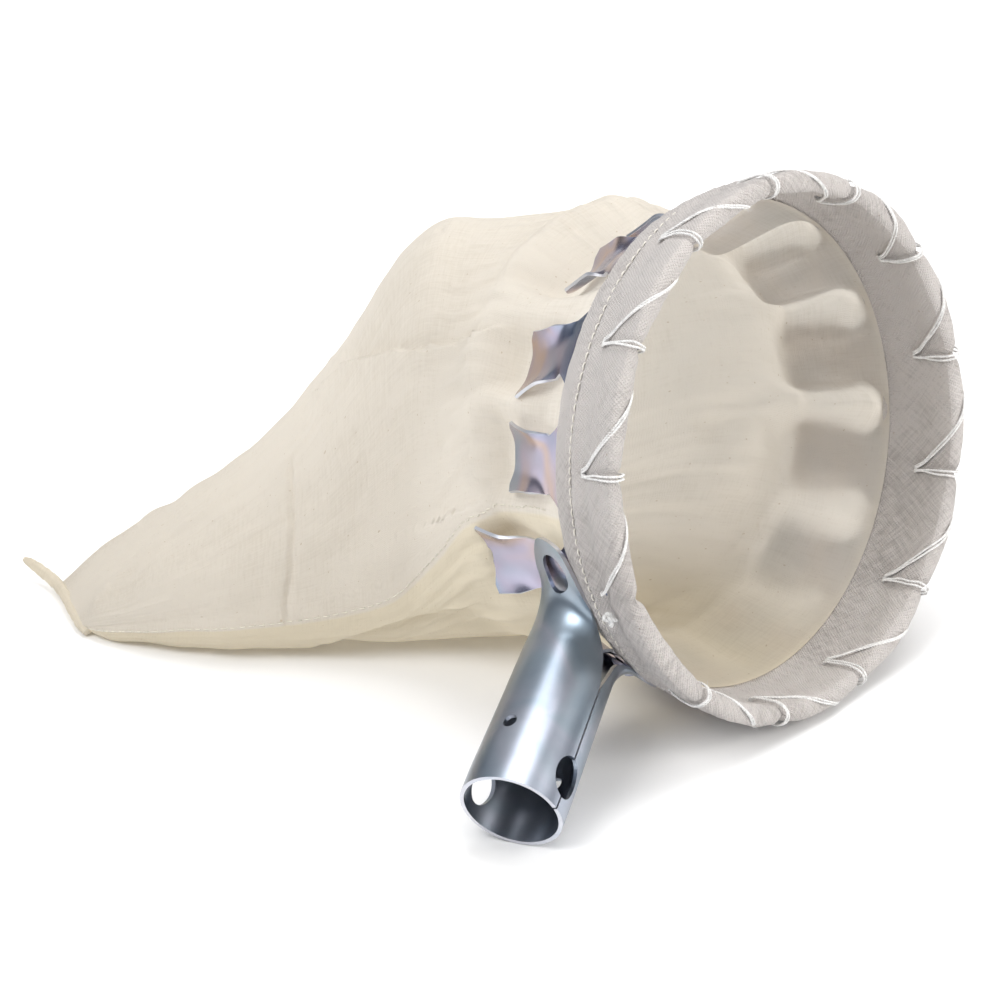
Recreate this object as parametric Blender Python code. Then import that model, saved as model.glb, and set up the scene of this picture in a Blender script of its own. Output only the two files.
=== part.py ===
"""Fruit picker basket: a stamped steel crown of fingers on a pole socket, with a laced cotton bag.

World frame: metres, +Z up, the basket lying on the plane z = 0 as it is set down after picking.
Ring frame: origin at the centre of the crown's front edge, +Z out of the mouth, +X to the socket.
In the ring frame "setback" is the distance behind the front edge, so z = -setback.
"""
import math

import bmesh
import bpy
from mathutils import Matrix, Vector

MM = 0.001
SHARP_ANGLE = math.radians(35)

# Pose of the ring frame in the world
RING_CENTRE = Vector((88.46, 0.56, 81.26)) * MM
MOUTH_AZIMUTH = math.radians(-41.69)
MOUTH_ELEVATION = math.radians(13.40)
SOCKET_ROLL = math.radians(-61.08)

# Crown: a rolled strip with one finger and one lacing hole at each station
STATIONS = 13
SOCKET_HALF_GAP = math.radians(16.2)
PITCH = (math.tau - 2 * SOCKET_HALF_GAP) / (STATIONS - 1)
SHEET = 1.0 * MM
FRONT_RADIUS = 78.3 * MM
BAND_DEPTH = 29.5 * MM
NOTCH_DEPTH = 22.8 * MM
FINGER_DEPTH = 49.5 * MM
EAR_FINGER_DEPTH = 63.5 * MM
EAR_FINGER_SPLAY = 8.5 * MM
SPLAY_START = 41.0 * MM
FINGER_HALF_WIDTH = 9.0 * MM
FINGER_FLARE = 1.1
FINGER_BEND = 3.6 * MM
BEND_TOP_ANGLE = math.radians(-118.9)
GUTTER_HEIGHT = 4.2 * MM
HOLE_DIAMETER = 4.4 * MM
HOLE_SETBACK = 11.4 * MM

# Socket: a rolled tube whose inner end opens into two ears
SOCKET_SHEET = 1.2 * MM
SOCKET_TILT = math.radians(15.0)
SOCKET_SKEW = math.radians(-2.0)
SOCKET_SETBACK = 32.6 * MM
SOCKET_REACH = 62.6 * MM
SOCKET_MOUTH_RADIUS = 15.2 * MM
SOCKET_THROAT_RADIUS = 14.0 * MM
SOCKET_STRAIGHT = 9.0 * MM
SEAM_HALF_GAP = 0.35 * MM
EAR_SETBACK = 31.6 * MM
EAR_HALF_WIDTH = 9.0 * MM
EAR_HOLE_OFFSET = 22.6 * MM
EAR_HOLE_DIAMETER = 10.0 * MM
EAR_LIFT = 0.5 * MM
EAR_LENGTH = 24.5 * MM
BEND_START = 9.0 * MM
BEND_RUN = 10.0 * MM
NAIL_HOLE_DIAMETER = 4.3 * MM
NAIL_HOLE_HEIGHT = 20.7 * MM
POLE_HOLE_SIZE = (10.4 * MM, 13.6 * MM)
POLE_HOLE_HEIGHT = 11.0 * MM

# Hem: the bag's edge, folded over the crown's front and laced to it
CLOTH = 1.0 * MM
CLEARANCE = 0.35 * MM
HEM_OUTER_DEPTH = 19.8 * MM
HEM_INNER_DEPTH = 22.0 * MM
HEM_SEGMENTS = 48
STITCH_SETBACK = 17.2 * MM
STITCH_RADIUS = 0.3 * MM

# Lacing: doubled twine, drawn as one cord of its outer width
TWINE_RADIUS = 0.8 * MM
TWINE_PASS_OFFSET = 1.05 * MM
KNOT_RADIUS = 2.2 * MM

# Bag: a neck inside the fingers, then a sack that swings about a vertical line through the neck
PIVOT_SETBACK = 30.0 * MM
NECK_RADIUS = 62.8 * MM
NECK_FRONT_SETBACK = 22.6 * MM
NECK_FRONT_RADIUS = 74.0 * MM
NECK_FRONT_ANGLE = math.radians(92.0)
NECK_BACK_ANGLE = math.radians(56.0)
COLLAR_RADIUS = 65.2 * MM
COLLAR_ANGLES = [math.radians(angle) for angle in (68.0, 60.0, 52.0)]
UPPER_POWER = 0.95
LOWER_POWER = 0.5
FLOOR_GAP = 0.4 * MM
SEAM_GAP = 0.5 * MM
SEAM_THREAD_ANGLE = math.radians(4.0)
END_SEAM_GAP = 0.6 * MM


def clear_scene():
    for old in list(bpy.data.objects):
        bpy.data.objects.remove(old, do_unlink=True)


def material(name, colour, metallic, roughness):
    made = bpy.data.materials.new(name)
    made.use_nodes = True
    shader = made.node_tree.nodes["Principled BSDF"]
    shader.inputs["Base Color"].default_value = (*colour, 1.0)
    shader.inputs["Metallic"].default_value = metallic
    shader.inputs["Roughness"].default_value = roughness
    return made


def zinc_plate(name):
    return material(name, (0.62, 0.66, 0.72), 1.0, 0.28)


def muslin(name):
    return material(name, (0.86, 0.80, 0.68), 0.0, 0.9)


def twine(name):
    return material(name, (0.90, 0.89, 0.88), 0.0, 0.8)


def empty(name, matrix):
    made = bpy.data.objects.new(name, None)
    made.matrix_world = matrix
    bpy.context.collection.objects.link(made)
    return made


def mesh_object(name, vertices, faces, finish, parent):
    mesh = bpy.data.meshes.new(name)
    mesh.from_pydata([tuple(vertex) for vertex in vertices], [], faces)
    mesh.update()
    mesh.shade_smooth()
    mesh.set_sharp_from_angle(angle=SHARP_ANGLE)
    mesh.materials.append(finish)
    made = bpy.data.objects.new(name, mesh)
    made.parent = parent
    bpy.context.collection.objects.link(made)
    return made


def face_out(made):
    """Points a closed mesh's faces outward."""
    work = bmesh.new()
    work.from_mesh(made.data)
    bmesh.ops.recalc_face_normals(work, faces=work.faces)
    if work.calc_volume(signed=True) < 0:
        bmesh.ops.reverse_faces(work, faces=work.faces)
    work.to_mesh(made.data)
    work.free()


def thicken(made, thickness, even=True):
    """Gives a sheet its gauge, half to each side of the drawn surface."""
    solid = made.modifiers.new("gauge", "SOLIDIFY")
    solid.thickness = thickness
    solid.offset = 0.0
    solid.use_even_offset = even


def cut(made, cutter):
    hole = made.modifiers.new(cutter.name, "BOOLEAN")
    hole.operation = "DIFFERENCE"
    hole.solver = "EXACT"
    hole.object = cutter


def as_cutter(made):
    made.hide_render = True
    made.display_type = "WIRE"
    face_out(made)
    return made


def ring_matrix():
    turn = Matrix.Rotation(MOUTH_AZIMUTH, 4, "Z")
    tip = Matrix.Rotation(math.pi / 2 - MOUTH_ELEVATION, 4, "Y")
    roll = Matrix.Rotation(SOCKET_ROLL, 4, "Z")
    return Matrix.Translation(RING_CENTRE) @ turn @ tip @ roll


def band_radius(setback):
    """Radius of the sheet's middle: a shallow cone that dishes in towards the finger tips."""
    return FRONT_RADIUS - 0.1 * setback - 3.2 * setback * setback


def finger_bend(angle, setback):
    """How far the fingers at the top of the resting basket are bent in towards the axis."""
    share = max(0.0, math.cos(angle - BEND_TOP_ANGLE)) ** 4
    return FINGER_BEND * share * smoothstep(BAND_DEPTH - 8 * MM, FINGER_DEPTH, setback)


def on_ring(angle, setback, lift):
    """Ring-frame point that stands "lift" proud of the middle of the crown's sheet."""
    radius = band_radius(max(setback, 0.0)) + lift
    return Vector((radius * math.cos(angle), radius * math.sin(angle), -setback))


def station_angles():
    return [SOCKET_HALF_GAP + PITCH * index for index in range(STATIONS)]


def smoothstep(low, high, value):
    share = min(1.0, max(0.0, (value - low) / (high - low)))
    return share * share * (3 - 2 * share)


# ---------------------------------------------------------------- crown

FINGER_COLUMNS = [-1.0, -0.78, -0.42, 0.0, 0.42, 0.78, 1.0]
BAND_ROWS = [0.0, 0.35, 0.7, 1.0]
FINGER_ROWS = [0.25, 0.5, 0.75, 1.0]


def finger_point(index, angle, column, share):
    """A point of one finger: share 0 is its root and 1 its tip, column -1 to 1 is its width."""
    by_near_ear = index == STATIONS - 1
    depth = EAR_FINGER_DEPTH if by_near_ear else FINGER_DEPTH
    edge = abs(column)
    fishtail = 2.0 * MM * smoothstep(0.3, 0.8, edge) - 1.6 * MM * smoothstep(0.8, 1.0, edge)
    setback = BAND_DEPTH + share * (depth + fishtail - BAND_DEPTH)
    widen = 1 - 0.06 * math.sin(math.pi * share) + (FINGER_FLARE - 1) * share ** 3
    start = SPLAY_START if index in (0, STATIONS - 1) else BAND_DEPTH
    lift = GUTTER_HEIGHT * edge ** 3 * smoothstep(start, start + 9 * MM, setback)
    lift -= finger_bend(angle, setback)
    if by_near_ear:
        lift += EAR_FINGER_SPLAY * max(0.0, (setback - SPLAY_START) / (depth - SPLAY_START)) ** 1.2
    turn = column * FINGER_HALF_WIDTH * widen / band_radius(setback)
    return on_ring(angle + turn, setback, lift)


def notch_columns():
    """Offsets from a finger's edge to the middle of the gap, and how deep the band is at each."""
    half_pitch = FRONT_RADIUS * PITCH / 2
    edge = FINGER_HALF_WIDTH
    columns = []
    for share in (0.22, 0.58, 1.0):
        reach = edge + share * (half_pitch - edge)
        depth = NOTCH_DEPTH + (BAND_DEPTH - NOTCH_DEPTH) * (1 - share) ** 2.4
        columns.append((reach, depth))
    return columns


def crown_columns(angle):
    """All columns of one station in order, each an angle, a depth and a finger column or None."""
    columns = []
    for reach, depth in reversed(notch_columns()):
        columns.append((angle - reach / FRONT_RADIUS, depth, None))
    for column in FINGER_COLUMNS:
        columns.append((angle + column * FINGER_HALF_WIDTH / FRONT_RADIUS, BAND_DEPTH, column))
    for reach, depth in notch_columns():
        columns.append((angle + reach / FRONT_RADIUS, depth, None))
    return columns


def crown_mesh():
    vertices = []
    faces = []
    previous = None
    for index, angle in enumerate(station_angles()):
        columns = crown_columns(angle)
        if previous:
            columns = columns[1:]
        for turn, depth, column in columns:
            rows = []
            for share in BAND_ROWS:
                rows.append(len(vertices))
                lift = -finger_bend(angle, share * depth)
                vertices.append(on_ring(turn, share * depth, lift))
            fingers = []
            if column is not None:
                fingers.append(rows[-1])
                for share in FINGER_ROWS:
                    fingers.append(len(vertices))
                    vertices.append(finger_point(index, angle, column, share))
            if previous:
                faces += strip_faces(previous[0], rows)
                if previous[1] and fingers:
                    faces += strip_faces(previous[1], fingers)
            previous = (rows, fingers)
    return vertices, faces


def strip_faces(left, right):
    return [(left[i], right[i], right[i + 1], left[i + 1]) for i in range(len(left) - 1)]


def lacing_punch(ring):
    """One cutter with a twelve-sided pin through every lacing hole."""
    work = bmesh.new()
    for angle in station_angles():
        centre = on_ring(angle, HOLE_SETBACK, 0.0)
        outward = Vector((math.cos(angle), math.sin(angle), 0.0))
        place = Matrix.Translation(centre) @ outward.to_track_quat("Z", "Y").to_matrix().to_4x4()
        bmesh.ops.create_cone(work, cap_ends=True, segments=12, radius1=HOLE_DIAMETER / 2,
                              radius2=HOLE_DIAMETER / 2, depth=10 * MM, matrix=place)
    mesh = bpy.data.meshes.new("lacing_punch")
    work.to_mesh(mesh)
    work.free()
    made = bpy.data.objects.new("lacing_punch", mesh)
    made.parent = ring
    bpy.context.collection.objects.link(made)
    return as_cutter(made)


def make_crown(ring, punch):
    vertices, faces = crown_mesh()
    crown = mesh_object("crown_ring", vertices, faces, zinc_plate("crown_zinc"), ring)
    thicken(crown, SHEET)
    cut(crown, punch)


# ---------------------------------------------------------------- socket

def socket_axes():
    """Origin on the crown, the axis out to the pole, the sideways axis and the seam's side."""
    origin = Vector((78 * MM, 0.0, -SOCKET_SETBACK))
    tilt = Matrix.Rotation(-SOCKET_TILT, 3, "Y")
    skew = Matrix.Rotation(SOCKET_SKEW, 3, "Z")
    axis = skew @ (tilt @ Vector((1, 0, 0)))
    side = skew @ Vector((0, 1, 0))
    return origin, axis, side, axis.cross(side)


def tube_point(turn, distance):
    """Point of the tube's middle surface: turn 0 is the seam, distance is from the crown."""
    origin, axis, side, seam = socket_axes()
    share = min(1.0, distance / (SOCKET_REACH - SOCKET_STRAIGHT))
    radius = SOCKET_THROAT_RADIUS + (SOCKET_MOUTH_RADIUS - SOCKET_THROAT_RADIUS) * share ** 1.5
    radius -= SOCKET_SHEET / 2
    return origin + axis * distance + (side * math.sin(turn) + seam * math.cos(turn)) * radius


def ear_point(across, setback):
    """Point of an ear's middle surface, which follows the crown just clear of its outside."""
    lift = SHEET / 2 + CLEARANCE + SOCKET_SHEET / 2 + EAR_LIFT
    return on_ring(across / band_radius(setback), setback, lift)


def flare_length(turn):
    """Length of sheet past the start of the bend: longest in the ears, short front and back."""
    off_side = min(abs(turn), abs(math.pi - abs(turn)))
    rise = math.sin(min(math.pi / 2, 1.25 * off_side))
    shortest = -10 * MM if abs(turn) < math.pi / 2 else -5 * MM
    return shortest + (EAR_LENGTH - shortest) * rise


def flare_point(turn, length):
    """Point past the start of the bend: a smooth bend outward, then flat against the crown."""
    hand = 1 if turn >= 0 else -1
    foot = tube_point(turn, BEND_START)
    setback = EAR_SETBACK - EAR_HALF_WIDTH * 1.25 * math.cos(turn)
    setback = min(max(setback, EAR_SETBACK - EAR_HALF_WIDTH), EAR_SETBACK + EAR_HALF_WIDTH)
    base = foot.y
    corner = ear_point(base, setback)
    landing = ear_point(base + hand * BEND_RUN, setback)
    bend_length = 1.35 * BEND_RUN + 0.25 * BEND_START
    if length > bend_length:
        return ear_point(base + hand * (BEND_RUN + length - bend_length), setback)
    share = length / bend_length
    return foot * (1 - share) ** 2 + corner * 2 * share * (1 - share) + landing * share ** 2


def socket_point(turn, share):
    """Point of the socket's sheet: share 0 is the pole end and 1 the end of the ear."""
    straight = SOCKET_REACH - BEND_START
    length = share * (straight + flare_length(turn))
    if length <= straight:
        return tube_point(turn, SOCKET_REACH - length)
    return flare_point(turn, length - straight)


def socket_turns():
    """Angles round the sheet from one edge of the seam to the other."""
    edge = SEAM_HALF_GAP / SOCKET_MOUTH_RADIUS
    steps = 32
    return [-math.pi + edge + (math.tau - 2 * edge) * i / steps for i in range(steps + 1)]


def socket_mesh():
    """The seam is at turn 0, so the columns start there and run once round the tube."""
    shares = [0.0, 0.15, 0.3, 0.45, 0.58, 0.66, 0.73, 0.79, 0.84, 0.89, 0.94, 1.0]
    vertices = []
    faces = []
    previous = None
    for turn in socket_turns():
        from_seam = turn + math.pi
        signed = from_seam if from_seam <= math.pi else from_seam - math.tau
        rows = []
        for share in shares:
            rows.append(len(vertices))
            vertices.append(socket_point(signed, share))
        if previous:
            faces += strip_faces(previous, rows)
        previous = rows
    return vertices, faces


def socket_pin(ring, name, centre, direction, size, length):
    """An oval pin, size wide and tall, used to punch one hole."""
    work = bmesh.new()
    bmesh.ops.create_cone(work, cap_ends=True, segments=20, radius1=0.5, radius2=0.5, depth=1.0)
    mesh = bpy.data.meshes.new(name)
    turn = direction.to_track_quat("Z", "Y").to_matrix().to_4x4()
    axis = socket_axes()[1]
    upward = turn.inverted() @ axis
    spin = Matrix.Rotation(math.atan2(upward.y, upward.x), 4, "Z")
    scale = Matrix.Diagonal((size[1], size[0], length, 1.0))
    bmesh.ops.transform(work, matrix=Matrix.Translation(centre) @ turn @ spin @ scale,
                        verts=work.verts)
    work.to_mesh(mesh)
    work.free()
    made = bpy.data.objects.new(name, mesh)
    made.parent = ring
    bpy.context.collection.objects.link(made)
    return as_cutter(made)


def socket_pins(ring):
    origin, axis, side, seam = socket_axes()
    round_nail = (NAIL_HOLE_DIAMETER, NAIL_HOLE_DIAMETER)
    pole = origin + axis * (SOCKET_REACH - POLE_HOLE_HEIGHT)
    nail = origin + axis * (SOCKET_REACH - NAIL_HOLE_HEIGHT)
    pins = [socket_pin(ring, "pole_hole_pin", pole, seam, POLE_HOLE_SIZE, 40 * MM),
            socket_pin(ring, "nail_hole_pin", nail, side, round_nail, 40 * MM)]
    round_ear = (EAR_HOLE_DIAMETER, EAR_HOLE_DIAMETER)
    for hand, name in ((1, "far_ear_pin"), (-1, "near_ear_pin")):
        centre = ear_point(hand * EAR_HOLE_OFFSET, EAR_SETBACK)
        outward = Vector((centre.x, centre.y, 0.0)).normalized()
        pins.append(socket_pin(ring, name, centre, outward, round_ear, 5 * MM))
    return pins


def make_socket(ring):
    vertices, faces = socket_mesh()
    socket = mesh_object("pole_socket", vertices, faces, zinc_plate("socket_zinc"), ring)
    thicken(socket, SOCKET_SHEET, even=False)
    for pin in socket_pins(ring):
        cut(socket, pin)


# ---------------------------------------------------------------- hem, neck and lacing

def turned(name, profile, segments, finish, ring):
    """Turns a closed (setback, radius) outline once round the ring's axis."""
    vertices = []
    for index in range(segments):
        angle = math.tau * index / segments
        for setback, radius in profile:
            vertices.append((radius * math.cos(angle), radius * math.sin(angle), -setback))
    count = len(profile)
    faces = []
    for index in range(segments):
        here = index * count
        there = (index + 1) % segments * count
        for step in range(count):
            after = (step + 1) % count
            faces.append((here + step, here + after, there + after, there + step))
    made = mesh_object(name, vertices, faces, finish, ring)
    face_out(made)
    return made


def hem_profile():
    """A folded sleeve: outer flap, a round front, inner flap, and the channel for the crown."""
    inside = SHEET / 2 + CLEARANCE
    outside = inside + CLOTH
    profile = []
    for share in (1.0, 0.5, 0.0):
        setback = share * HEM_OUTER_DEPTH
        profile.append((setback, band_radius(setback) + outside))
    for turn in (45, 90, 135):
        angle = math.radians(turn)
        lift = outside * math.cos(angle)
        profile.append((-CLEARANCE - CLOTH * 1.4 * math.sin(angle), FRONT_RADIUS + lift))
    for share in (0.0, 0.5, 1.0):
        setback = share * HEM_INNER_DEPTH
        profile.append((setback, band_radius(setback) - outside))
    for share in (1.0, 0.5):
        setback = share * HEM_INNER_DEPTH
        profile.append((setback, band_radius(setback) - inside))
    profile.append((-CLEARANCE, FRONT_RADIUS - inside))
    profile.append((-CLEARANCE, FRONT_RADIUS + inside))
    for share in (0.5, 1.0):
        setback = share * HEM_OUTER_DEPTH
        profile.append((setback, band_radius(setback) + inside))
    return profile


def make_hem(ring, punch):
    hem = turned("bag_hem", hem_profile(), HEM_SEGMENTS, muslin("hem_muslin"), ring)
    cut(hem, punch)
    lift = SHEET / 2 + CLEARANCE + CLOTH + CLEARANCE + STITCH_RADIUS
    radius = band_radius(STITCH_SETBACK) + lift
    profile = []
    for step in range(6):
        angle = math.tau * step / 6
        profile.append((STITCH_SETBACK + STITCH_RADIUS * math.cos(angle),
                        radius + STITCH_RADIUS * math.sin(angle)))
    turned("hem_stitch_thread", profile, HEM_SEGMENTS, twine("stitch_cotton"), ring)


def sphere_step(radius, angle):
    """Setback and radius of a point on a sphere about the pivot, angle from the bag's side."""
    return PIVOT_SETBACK + radius * math.cos(angle), radius * math.sin(angle)


def make_neck(ring):
    """Gathered cloth from the hem to inside the finger tips, rounded about the pivot."""
    angles = [NECK_FRONT_ANGLE + (NECK_BACK_ANGLE - NECK_FRONT_ANGLE) * i / 5 for i in range(6)]
    outer = [(NECK_FRONT_SETBACK, NECK_FRONT_RADIUS - CLOTH)]
    outer += [sphere_step(NECK_RADIUS, angle) for angle in angles]
    inner = [sphere_step(NECK_RADIUS - CLOTH, angle) for angle in reversed(angles)]
    inner.append((NECK_FRONT_SETBACK, NECK_FRONT_RADIUS - 2.4 * CLOTH))
    turned("bag_neck", outer + inner, 44, muslin("neck_muslin"), ring)


def cord(name, points, radius, finish, parent):
    """A round cord along a smooth polyline, with closed ends."""
    curve = bpy.data.curves.new(name, "CURVE")
    curve.dimensions = "3D"
    curve.bevel_depth = radius
    curve.bevel_resolution = 2
    curve.use_fill_caps = True
    spline = curve.splines.new("POLY")
    spline.points.add(len(points) - 1)
    for target, point in zip(spline.points, points):
        target.co = (*point, 1.0)
    curve.materials.append(finish)
    made = bpy.data.objects.new(name, curve)
    made.parent = parent
    bpy.context.collection.objects.link(made)
    return made


def laced_point(angle, across, setback, lift):
    return on_ring(angle - across / FRONT_RADIUS, setback, lift)


def lacing_points():
    """From the near ear round to the far ear: through each hole, straight over the front edge,
    through the same hole again, then slanting over the front edge to the next hole."""
    proud = SHEET / 2 + CLEARANCE + CLOTH + CLEARANCE + TWINE_RADIUS
    front = CLEARANCE + 1.4 * CLOTH + CLEARANCE + TWINE_RADIUS
    into = HOLE_SETBACK
    lead = TWINE_PASS_OFFSET
    step = FRONT_RADIUS * PITCH
    through = [(into - 2.0 * MM, -1.0), (into - 0.2 * MM, -0.6),
               (into - 0.2 * MM, 0.6), (into - 2.0 * MM, 1.0)]
    over = [(4.5 * MM, 1.0)]
    for turn in (20, 55, 90, 125, 160):
        angle = math.radians(turn)
        over.append((-front * math.sin(angle), math.cos(angle)))
    over.append((4.5 * MM, -1.0))
    points = []
    angles = [angle - math.tau for angle in reversed(station_angles())]
    for index, angle in enumerate(angles):
        if index:
            points += [laced_point(angle, -lead, s, side * proud) for s, side in through]
            for order, (setback, side) in enumerate(over):
                across = lead * (order - 3) / 3
                points.append(laced_point(angle, across, setback, side * proud))
        points += [laced_point(angle, lead, s, side * proud) for s, side in through]
        if index < len(angles) - 1:
            for order, (setback, side) in enumerate(over):
                slant = lead + (step - 2 * lead) * (0.12 + 0.76 * order / 6)
                points.append(laced_point(angle, slant, setback, side * proud))
    return points


def make_lacing(ring):
    white = twine("twine_cotton")
    cord("lacing_twine", lacing_points(), TWINE_RADIUS, white, ring)
    make_knot(ring, white)


def make_knot(ring, white):
    """The tied end: a squat knot on the hem beside the near ear's hole."""
    angle = -SOCKET_HALF_GAP + 2.6 * KNOT_RADIUS / FRONT_RADIUS
    lift = SHEET / 2 + CLEARANCE + CLOTH + CLEARANCE + KNOT_RADIUS * 0.8
    centre = on_ring(angle, HOLE_SETBACK - 3 * MM, lift)
    outward = Vector((math.cos(angle), math.sin(angle), 0.0))
    work = bmesh.new()
    bmesh.ops.create_icosphere(work, subdivisions=2, radius=KNOT_RADIUS)
    turn = outward.to_track_quat("Z", "Y").to_matrix().to_4x4()
    squat = Matrix.Diagonal((1.0, 0.85, 0.75, 1.0))
    bmesh.ops.transform(work, matrix=Matrix.Translation(centre) @ turn @ squat,
                        verts=work.verts)
    mesh = bpy.data.meshes.new("lacing_knot")
    work.to_mesh(mesh)
    work.free()
    mesh.shade_smooth()
    mesh.materials.append(white)
    made = bpy.data.objects.new("lacing_knot", mesh)
    made.parent = ring
    bpy.context.collection.objects.link(made)


# ---------------------------------------------------------------- bag

def sack_table():
    """Sections of the sack in mm: near edge x and y, far edge x and y, widest height, top."""
    return [(-4, 10, 42, 97, 54, 130.5), (-8, 13, 16, 93.5, 48, 130), (-16, 13.5, -6, 90, 40, 131),
            (-24, 13.5, -22, 88, 34, 121), (-36, 13.5, -36, 86, 28, 99),
            (-56, 14, -57, 84, 22, 72), (-81, 16, -82, 82, 17, 46), (-104, 22, -106, 80, 10, 26),
            (-119, 29.5, -126, 76, 5, 12), (-125.2, 33.4, -145.6, 67.8, 2, 4.2)]


def collar_sections():
    """Circles on a sphere about the pivot, square to the ring's axis."""
    ring = ring_matrix()
    backward = -(ring.to_3x3() @ Vector((0, 0, 1)))
    side = Vector((0, 0, 1)).cross(backward).normalized()
    up = backward.cross(side).normalized()
    pivot = ring @ Vector((0, 0, -PIVOT_SETBACK))
    sections = []
    for angle in COLLAR_ANGLES:
        centre = pivot + backward * COLLAR_RADIUS * math.cos(angle)
        radius = COLLAR_RADIUS * math.sin(angle)
        sections.append((centre, side * radius, up, radius, radius, 1.0, 1.0))
    return sections


def sack_sections():
    """Each section: centre, half its width as a vector, up, rise, fall and the two powers."""
    sections = []
    for near_x, near_y, far_x, far_y, widest, top in sack_table():
        near = Vector((near_x, near_y, widest)) * MM
        far = Vector((far_x, far_y, widest)) * MM
        rise = (top - widest) * MM
        fall = widest * MM - FLOOR_GAP
        sections.append(((near + far) / 2, (near - far) / 2, Vector((0, 0, 1)), rise, fall,
                         UPPER_POWER, LOWER_POWER))
    return sections


def section_point(section, turn, inset):
    """Superellipse point: turn 0 is the near seam, a quarter turn the top, below 0 the floor."""
    centre, half, up, rise, fall, upper_power, lower_power = section
    upper = math.sin(turn) >= 0
    power = upper_power if upper else lower_power
    height = (rise if upper else fall) - inset
    across = math.copysign(abs(math.cos(turn)) ** power, math.cos(turn))
    lift = math.copysign(abs(math.sin(turn)) ** power, math.sin(turn))
    return centre + half.normalized() * (half.length - inset) * across + up * lift * height


def panel_turns(lower):
    """Angles across one panel, stopping half a seam gap short of each seam."""
    start, stop, count = (-math.pi, 0.0, 14) if lower else (0.0, math.pi, 16)
    return [start + (stop - start) * i / count for i in range(count + 1)]


def panel_mesh(lower):
    """One cloth panel as a thin closed shell lofted along the bag."""
    sections = collar_sections() + sack_sections()
    turns = panel_turns(lower)
    layers = []
    for inset in (0.0, CLOTH):
        rows = []
        for section in sections:
            thin = min(inset, min(section[3], section[4]) - END_SEAM_GAP / 2)
            rows.append(trim_seam([section_point(section, turn, thin) for turn in turns]))
        layers.append(rows)
    return shell(layers[0], layers[1])


def trim_seam(row):
    """Pulls the panel's two edges back so that the panels don't touch at the seams."""
    first = row[0] + (row[1] - row[0]).normalized() * SEAM_GAP / 2
    last = row[-1] + (row[-2] - row[-1]).normalized() * SEAM_GAP / 2
    return [first] + row[1:-1] + [last]


def shell(outer, inner):
    rows = len(outer)
    columns = len(outer[0])
    vertices = [point for row in outer for point in row]
    vertices += [point for row in inner for point in row]
    offset = rows * columns
    faces = []
    for i in range(rows - 1):
        for j in range(columns - 1):
            a = i * columns + j
            b = a + columns
            faces.append((a, a + 1, b + 1, b))
            faces.append((offset + a, offset + b, offset + b + 1, offset + a + 1))
        for j in (0, columns - 1):
            a = i * columns + j
            b = a + columns
            faces.append((a, b, offset + b, offset + a))
    for i in (0, rows - 1):
        for j in range(columns - 1):
            a = i * columns + j
            faces.append((a, offset + a, offset + a + 1, a + 1))
    return vertices, faces


def make_bag(pivot):
    """Both panels hang from the pivot, whose origin is on the swing axis."""
    into_pivot = pivot.matrix_world.inverted()
    for lower, name in ((False, "bag_upper_panel"), (True, "bag_lower_panel")):
        vertices, faces = panel_mesh(lower)
        vertices = [into_pivot @ vertex for vertex in vertices]
        panel = mesh_object(name, vertices, faces, muslin(name + "_muslin"), pivot)
        face_out(panel)
    make_seam_thread(pivot, into_pivot)


def make_seam_thread(pivot, into_pivot):
    """The machine stitching along the near side, just above the seam."""
    turn = SEAM_THREAD_ANGLE
    points = []
    for section in collar_sections()[1:] + sack_sections()[:-1]:
        points.append(into_pivot @ section_point(section, turn, -0.9 * MM))
    cord("seam_stitch_thread", points, STITCH_RADIUS, twine("seam_cotton"), pivot)


def main():
    clear_scene()
    ring = empty("ring_frame", ring_matrix())
    pivot_place = ring_matrix() @ Vector((0, 0, -PIVOT_SETBACK))
    pivot = empty("bag_pivot", Matrix.Translation(pivot_place))
    bpy.context.view_layer.update()
    punch = lacing_punch(ring)
    make_crown(ring, punch)
    make_socket(ring)
    make_hem(ring, punch)
    make_neck(ring)
    make_lacing(ring)
    make_bag(pivot)


main()
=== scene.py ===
import math

import bmesh
import bpy
import numpy as np
from mathutils import Matrix, Vector, noise


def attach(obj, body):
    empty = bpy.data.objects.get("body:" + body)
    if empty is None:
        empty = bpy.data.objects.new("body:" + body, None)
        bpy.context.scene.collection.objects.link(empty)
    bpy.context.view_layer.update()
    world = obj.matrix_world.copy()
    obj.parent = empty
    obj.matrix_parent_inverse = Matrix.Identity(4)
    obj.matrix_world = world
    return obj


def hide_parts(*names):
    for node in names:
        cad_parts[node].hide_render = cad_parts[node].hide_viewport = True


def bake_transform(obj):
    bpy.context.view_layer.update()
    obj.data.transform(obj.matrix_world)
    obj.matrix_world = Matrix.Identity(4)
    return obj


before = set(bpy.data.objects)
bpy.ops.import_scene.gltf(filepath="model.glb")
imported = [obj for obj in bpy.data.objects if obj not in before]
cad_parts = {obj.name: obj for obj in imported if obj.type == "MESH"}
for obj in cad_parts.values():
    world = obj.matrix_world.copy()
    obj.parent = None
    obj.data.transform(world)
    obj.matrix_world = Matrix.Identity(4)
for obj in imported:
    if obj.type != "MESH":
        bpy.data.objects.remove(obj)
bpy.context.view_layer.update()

MM = 0.001

# Ring frame: origin at the centre of the crown's front edge, +Z out of the mouth, +X to the socket
RING_CENTRE = np.array((88.46, 0.56, 81.26)) * MM
MOUTH_AZIMUTH = math.radians(-41.69)
MOUTH_ELEVATION = math.radians(13.40)
SOCKET_ROLL = math.radians(-61.08)

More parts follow.
